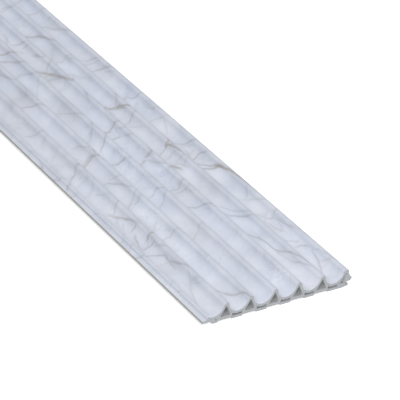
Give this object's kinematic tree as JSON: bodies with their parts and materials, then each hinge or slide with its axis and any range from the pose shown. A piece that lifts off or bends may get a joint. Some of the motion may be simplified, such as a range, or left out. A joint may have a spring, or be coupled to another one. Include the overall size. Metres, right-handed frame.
{
  "type": "fluted wall panel",
  "caption": "Extruded wood-plastic wall panel with deep round flutes, a marbled film face, hollow ridges, and a tongue and a groove on its long edges.",
  "frame": {"origin": "middle of the panel's back, at the height of the pads it lies on", "axes": "+X across the panel from the tongue to the groove, +Y along its length, +Z out of the fluted face"},
  "size_m": [0.1556, 2.9, 0.018],
  "materials": {
    "grey_composite": "matte",
    "marble_film": "satin"
  },
  "bodies": {
    "root": {"wall_panel": "grey_composite"}
  },
  "joints": []
}
